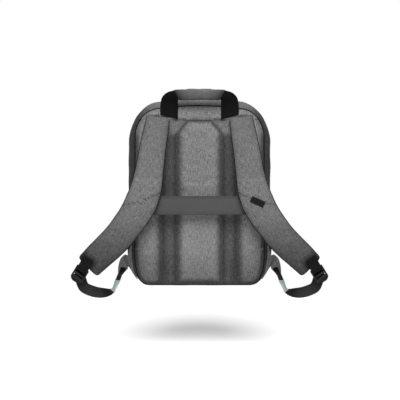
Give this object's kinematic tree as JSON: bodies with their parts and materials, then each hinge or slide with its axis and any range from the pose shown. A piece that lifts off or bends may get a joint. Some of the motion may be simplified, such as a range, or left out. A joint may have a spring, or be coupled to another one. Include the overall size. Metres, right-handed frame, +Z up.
{
  "type": "laptop backpack",
  "caption": "Padded laptop backpack with shoulder straps, grab handle and a luggage band across the back for a trolley handle.",
  "frame": {"origin": "middle of the gap behind the luggage band, where a trolley handle passes", "axes": "+Z up, -Y from the back panel towards the wearer, +X to the right when the back panel is looked at"},
  "size_m": [0.579, 0.2137, 0.4712],
  "materials": {
    "body_fabric": "grey heather weave",
    "pad_fabric": "grey heather weave over foam",
    "band_fabric": "smooth dark grey weave",
    "black_fabric": "black woven binding",
    "black_webbing": "black ribbed webbing",
    "black_plastic": "moulded black",
    "keeper_fabric": "pale sage grey tape"
  },
  "bodies": {
    "root": {"back_board": "body_fabric", "piping_rear": "black_fabric", "rear_gusset": "body_fabric", "front_gusset": "body_fabric", "piping_front": "black_fabric", "main_zipper": "black_fabric", "base_gusset": "body_fabric", "front_panel": "body_fabric", "pocket_zipper": "black_fabric", "pocket_slider": "black_plastic", "main_slider_left": "black_plastic", "main_slider_right": "black_plastic", "side_pocket_left": "black_fabric", "side_pocket_right": "black_fabric", "centre_pad": "pad_fabric", "side_pad_left": "pad_fabric", "side_pad_right": "pad_fabric", "yoke_panel": "body_fabric", "luggage_band": "band_fabric", "grab_handle": "black_webbing", "handle_grip": "pad_fabric", "shoulder_strap_left": "pad_fabric", "shoulder_strap_right": "pad_fabric", "strap_tag": "black_fabric", "ladder_buckle_left": "black_plastic", "ladder_buckle_right": "black_plastic", "strap_end_webbing_left": "black_webbing", "strap_end_webbing_right": "black_webbing", "lower_webbing_left": "black_webbing", "lower_webbing_right": "black_webbing", "webbing_keeper_left": "keeper_fabric", "webbing_keeper_right": "keeper_fabric", "anchor_flap_left": "body_fabric", "anchor_flap_right": "body_fabric"}
  },
  "joints": []
}
